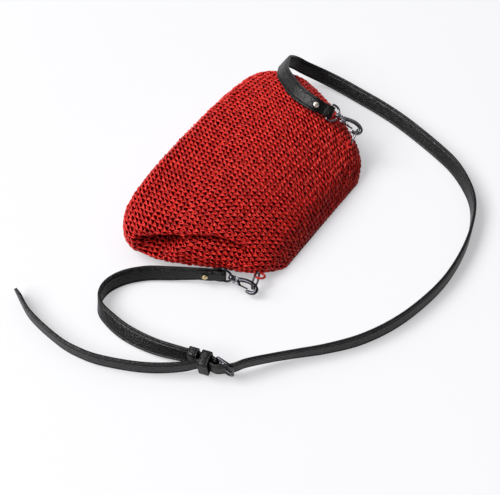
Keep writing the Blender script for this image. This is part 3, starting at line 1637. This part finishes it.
    def build_gate(self) -> None:
        """Makes the gate: a plate with a narrowed tip and two ears that the pin goes through."""
        start, stop = np.array(self.gate_from), np.array(self.gate_to)
        length = float(np.linalg.norm(stop - start))
        wide = [(0, 2.6), (0.9, 3.3), (length * 0.5, 3.3), (length * 0.6, 3.0), (length * 0.7, 2.2)]
        wide += [(length * 0.78, 1.95), (length - 0.5, 1.9), (length, 1.4)]
        outline = [(-w, a) for a, w in wide] + [(w, a) for a, w in reversed(wide)]
        web = plate("web", outline, self.gate_thickness, 0.4)
        web.transform(placed(np.append(start, 0.0), UP, np.append((stop - start) / length, 0.0)))
        low, high = start + (stop - start) * 0.1, start + (stop - start) * 0.56
        eye = [(x, y) for x, y, _ in arc(self.pivot, self.ear_radius, 63, 252, 10)]
        ears = []
        for side in (1, -1):
            ear = plate("ear", [tuple(low), tuple(high), *eye], self.ear_thickness, 0.2)
            ear.transform(Matrix.Translation((0, 0, side * self.ear_offset * MM)))
            ears.append(ear)
        self.show_metal(joined(self.name("gate_plate"), [web, *ears], self.seat.frame), "gate", "hook_gate")

    def build_spring(self) -> None:
        """Makes the leaf spring, which bends between the hook and the gate."""
        foot, bend, end = (np.append(p, 0.0) for p in self.leaf)
        t = np.linspace(0, 1, 10)[:, None]
        line = foot * (1 - t) ** 2 + 2 * bend * t * (1 - t) + end * t**2
        out = np.cross(unit(np.gradient(line, axis=0)), UP)
        half = self.leaf_width / 2
        section = np.array([(-half, -0.1), (-half + 0.1, -0.2), (half - 0.1, -0.2), (half, -0.1)])
        section = np.vstack([section, -section])
        rings = line[:, None, :] + out[:, None, :] * section[None, :, 1, None]
        rings = rings + UP * section[None, :, 0, None]
        seated = self.seat.frame
        mesh = joined(self.name("leaf_steel"), [skinned("leaf", rings)], seated)
        leaf = show(mesh, PALE_STEEL, None, [self.name("gate_spring")])
        self.name("hook")
        self.name("gate")
        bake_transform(leaf)

    def build_rivet(self) -> bpy.types.Object:
        """Makes the rivet with a domed cap on both sides.

        Returns:
            The rivet.
        """
        under = [(r, -h) for r, h in reversed(self.cap)]
        height = self.cap[0][1]
        shank = [(self.rivet_shank, -height), (self.rivet_shank, height)]
        at = self.seat.bar + self.seat.ahead * self.rivet_setback
        body = lathed("rivet", [*under, *shank, *self.cap])
        mesh = joined(self.name("rivet_caps"), [body], placed(at, self.seat.ahead, self.seat.face))
        return show(mesh, self.rivet_finish, "bag", [self.name("rivet")])


@dataclass
class BuckleSet:
    """The buckle with its prong and the two leather keepers.

    Attributes:
        inner_width: Width inside the frame, in mm.
        wire: Radius of the frame's wire, in mm.
        reach: From the heel bar to the end bar along the strap, in mm.
        rise: Height of the end bar over the heel bar, in mm.
        corner: Radius of the frame's far corners, in mm.
        heel_share: Radius of its near corners, as a share of the wire's.
        prong_radius: Radius of the prong, in mm.
        prong_taper: Shares of that radius along the prong.
        eye_gap: Gap between the prong's eye and the heel bar, in mm.
        tip_gap: Gap between the prong and the end bar, in mm.
        overhang: How far the prong goes past the end bar, in mm.
        strap_half: Half the width inside a keeper, in mm.
        wall: Thickness of a keeper, in mm.
        keeper_length: Length of a keeper along the strap, in mm.
        keeper_corner: Radius of a keeper's corners, in mm.
        fixed_at: The fixed keeper's near edge along the strap, and its inside under and over it, in mm.
        sliding_at: The same for the sliding keeper.
    """

    inner_width: float = 19.5
    wire: float = 1.6
    reach: float = 16.0
    rise: float = 5.0
    corner: float = 6.0
    heel_share: float = 1.4
    prong_radius: float = 0.95
    prong_taper: tuple[float, ...] = (1, 1, 1, 1, 0.95, 0.85, 0.4)
    eye_gap: float = 0.35
    tip_gap: float = 0.55
    overhang: float = 2.6
    strap_half: float = 8.85
    wall: float = 1.8
    keeper_length: float = 10.0
    keeper_corner: float = 1.5
    fixed_at: Place = (19.5, -3.35, 3.35)
    sliding_at: Place = (6.5, -3.55, 10.4)

    def build(self) -> list[bpy.types.Object]:
        """Makes the buckle and keepers.

        Returns:
            The parts that sit at the short strap's end.
        """
        fixed = self.keeper("fixed_keeper", "bag", *self.fixed_at)
        self.keeper("sliding_keeper", "sliding_keeper", *self.sliding_at)
        return [self.frame(), self.prong(), fixed]

    def frame(self) -> bpy.types.Object:
        """Makes the bent wire frame.

        Returns:
            The frame.
        """
        half, far = self.inner_width / 2 + self.wire, -math.hypot(self.rise, self.reach)
        heel, corner = self.wire * self.heel_share, self.corner
        near_rounds = [(-heel, half - heel, heel), (-heel, -half + heel, heel)]
        far_rounds = [(far + corner, half - corner, corner), (far + corner, -half + corner, corner)]
        path = rounded_loop([near_rounds[0], *far_rounds, near_rounds[1]])
        wire = tubes("frame_wire", [path], self.wire, 4)
        tilt = Matrix.Rotation(-math.atan2(self.rise, self.reach), 4, "Z")
        flat = Matrix.Rotation(-math.pi / 2, 4, "X")
        mesh = joined("buckle_wire", [wire], BUCKLE.frame @ (tilt @ flat))
        return show(mesh, BLACK_NICKEL, "bag", ["buckle_frame"])

    def prong(self) -> bpy.types.Object:
        """Makes the prong: an eye round the heel bar and a tapered pin that lies on the end bar.

        Returns:
            The prong.
        """
        eye = self.wire + self.eye_gap + self.prong_radius
        root = tubes("eye", [np.array(arc((0, 0), eye, 0, 345, 23))], self.prong_radius, 3)
        tip_height = self.rise + self.wire + self.tip_gap + self.prong_radius
        start = np.array([-eye * 0.6, eye * 0.8, 0.0])
        slope = (tip_height - start[1]) / (self.reach + start[0])
        stop = np.array([-self.reach - self.overhang, tip_height + slope * self.overhang, 0.0])
        share = np.linspace(0, 1, 14)[:, None]
        line = tapered(start + (stop - start) * share, self.prong_taper)
        pin = tubes("pin", [line], self.prong_radius, 3, False)
        mesh = joined("buckle_pin", [root, pin], BUCKLE.frame)
        return show(mesh, BLACK_NICKEL, "bag", ["buckle_prong"])

    def keeper_section(self) -> np.ndarray:
        """The section of a keeper's leather, with a crease pressed in near both edges.

        Returns:
            Points along the strap and off the band's middle, in mm.
        """
        h, w = self.keeper_length / 2, self.wall / 2
        crease = [(-h + 0.5, w), (-h + 1.3, w + 0.05), (-h + 1.6, w - 0.2), (-h + 1.9, w)]
        other = [(-a, o) for a, o in reversed(crease)]
        edge = [(h, w - 0.5), (h, -w + 0.3), (h - 0.3, -w)]
        return np.array([*crease, *other, *edge, *[(-a, o) for a, o in reversed(edge)]])

    def keeper(self, node: str, body: str, along: float, low: float, high: float) -> bpy.types.Object:
        """Makes one leather band round the strap.

        Args:
            node: The CAD keeper that it stands for.
            body: The body that it rides on.
            along: Its near edge's distance from the heel bar, in mm.
            low: Inside of the band under the strap, in mm.
            high: Inside of the band over the strap, in mm.

        Returns:
            The band.
        """
        corner = self.keeper_corner
        side = self.strap_half + self.wall / 2 - corner
        top, bottom = high + self.wall / 2 - corner, low - self.wall / 2 + corner
        centres = [(side, top), (-side, top), (-side, bottom), (side, bottom)]
        path = rounded_loop([(x, y, corner) for x, y in centres])
        outwards = rounded_loop([(0, 0, 1)] * 4)
        section = self.keeper_section()
        rings = path[:, None, :] + outwards[:, None, :] * section[None, :, 1, None]
        rings = rings + UP * section[None, :, 0, None]
        at = BUCKLE.point(along + self.keeper_length / 2, 0.0)
        place = placed(at, BUCKLE.across, BUCKLE.face)
        mesh = joined(f"{node}_leather", [skinned("band", rings, True)], place)
        return show(mesh, LEATHER, body, [node])


@dataclass
class Stage:
    """Camera, floor and light of a plain pale table-top picture.

    Attributes:
        camera_at: The camera's place, in mm.
        target: The place at the middle of the picture, in mm.
        lens: Focal length, in mm.
        sensor: Width of the camera's sensor, in mm.
        key_at: Place of the main light, in mm.
        key_size: Its side, in mm.
        key_power: Its power, in watts.
        rim_at: Place of the weaker light from the side, in mm.
        rim_size: Its side, in mm.
        rim_share: Its power, as a share of the main light's.
        fill_strength: Brightness of the studio overhead.
        horizon_share: Share of that brightness at the horizon, which gives metal its dark sides.
        overhead: The way to the brightest place of the studio.
        dark_up_to: Cosine of the angle from there at which the dark starts.
        floor_half: Half the side of the floor, in metres.
    """

    camera_at: Place = (-906.7, -587.9, 1114.7)
    target: Place = (-67.8, -36.9, 0.0)
    lens: float = 104.85
    sensor: float = 36.0
    key_at: Place = (-2900.0, 4250.0, 6100.0)
    key_size: float = 4800.0
    key_power: float = 760.0
    rim_at: Place = (-5400.0, 1400.0, 3800.0)
    rim_size: float = 2000.0
    rim_share: float = 0.25
    fill_strength: float = 0.8
    horizon_share: float = 0.06
    overhead: Place = (0.18, 0.36, 0.915)
    dark_up_to: float = 0.28
    floor_half: float = 6.0

    def build(self) -> None:
        """Makes the camera, the floor, the lights and the world."""
        bpy.context.scene.view_settings.view_transform = "Standard"
        camera = bpy.data.cameras.new("camera")
        camera.lens = self.lens
        camera.sensor_width = self.sensor
        bpy.context.scene.camera = self.aimed("camera", camera, self.camera_at)
        self.floor()
        self.light("key", self.key_at, self.key_size, self.key_power)
        self.light("rim", self.rim_at, self.rim_size, self.key_power * self.rim_share)
        self.world()

    def aimed(self, name: str, data: bpy.types.ID, at: Place) -> bpy.types.Object:
        """Adds a camera or a light that looks at the target.

        Args:
            name: The object's name.
            data: The camera or the light.
            at: Its place, in mm.

        Returns:
            The new object.
        """
        obj = bpy.data.objects.new(name, data)
        obj.location = Vector(at) * MM
        obj.rotation_mode = "QUATERNION"
        obj.rotation_quaternion = (Vector(self.target) - Vector(at)).to_track_quat("-Z", "Y")
        bpy.context.scene.collection.objects.link(obj)
        return obj

    def light(self, name: str, at: Place, size: float, power: float) -> None:
        """Adds one soft square light that looks at the object.

        Args:
            name: The light's name.
            at: Its place, in mm.
            size: Its side, in mm.
            power: Its power, in watts.
        """
        data = bpy.data.lights.new(name, "AREA")
        data.size = size * MM
        data.energy = power
        self.aimed(name, data, at)

    def world(self) -> None:
        """Makes the soft studio round the table, bright overhead and dark to the sides."""
        world = bpy.data.worlds.new("soft studio")
        world.use_nodes = True
        tree = world.node_tree
        way = add_node(tree, "ShaderNodeTexCoord").outputs["Generated"]
        height = add_node(tree, "ShaderNodeVectorMath", {0: way, 1: self.overhead}, operation="DOT_PRODUCT")
        level = add_node(
            tree,
            "ShaderNodeMapRange",
            {
                "Value": height.outputs["Value"],
                "From Min": self.dark_up_to,
                "To Min": self.fill_strength * self.horizon_share,
                "To Max": self.fill_strength,
            },
        )
        tree.links.new(level.outputs["Result"], tree.nodes["Background"].inputs["Strength"])
        tree.nodes["Background"].inputs["Color"].default_value = linear("FFFFFF")
        bpy.context.scene.world = world

    def floor(self) -> None:
        """Adds the pale table."""
        work = bmesh.new()
        bmesh.ops.create_grid(work, x_segments=1, y_segments=1, size=self.floor_half)
        mesh = bpy.data.meshes.new("floor")
        work.to_mesh(mesh)
        work.free()
        mesh.materials.append(WHITE_PAPER.material())
        table = bpy.data.objects.new("floor", mesh)
        bpy.context.scene.collection.objects.link(table)


def main() -> None:
    """Builds every piece in order."""
    logging.basicConfig(level=logging.INFO, format="%(message)s")
    Stage().build()
    CrochetPouch().build()
    right = ClipSet(RIGHT_SEAT, GUNMETAL, PALE_STEEL).build()
    left = ClipSet(LEFT_SEAT, BLACK_NICKEL, PALE_GOLD).build()
    buckle = BuckleSet().build()
    long_strap = Strap(
        "long_strap_leather",
        "long_strap",
        RIGHT_SEAT,
        LONG_ROUTE,
        LONG_BUCKLE,
        tail=LONG_TAIL,
        pointed=True,
        finished=-1.0,
    )
    long_strap.build(right, "bare")
    short_strap = Strap("short_strap_leather", "short_strap", LEFT_SEAT, SHORT_ROUTE, SHORT_BUCKLE)
    short_strap.build([*left, *buckle], "fitting")


if __name__ == "__main__":
    main()
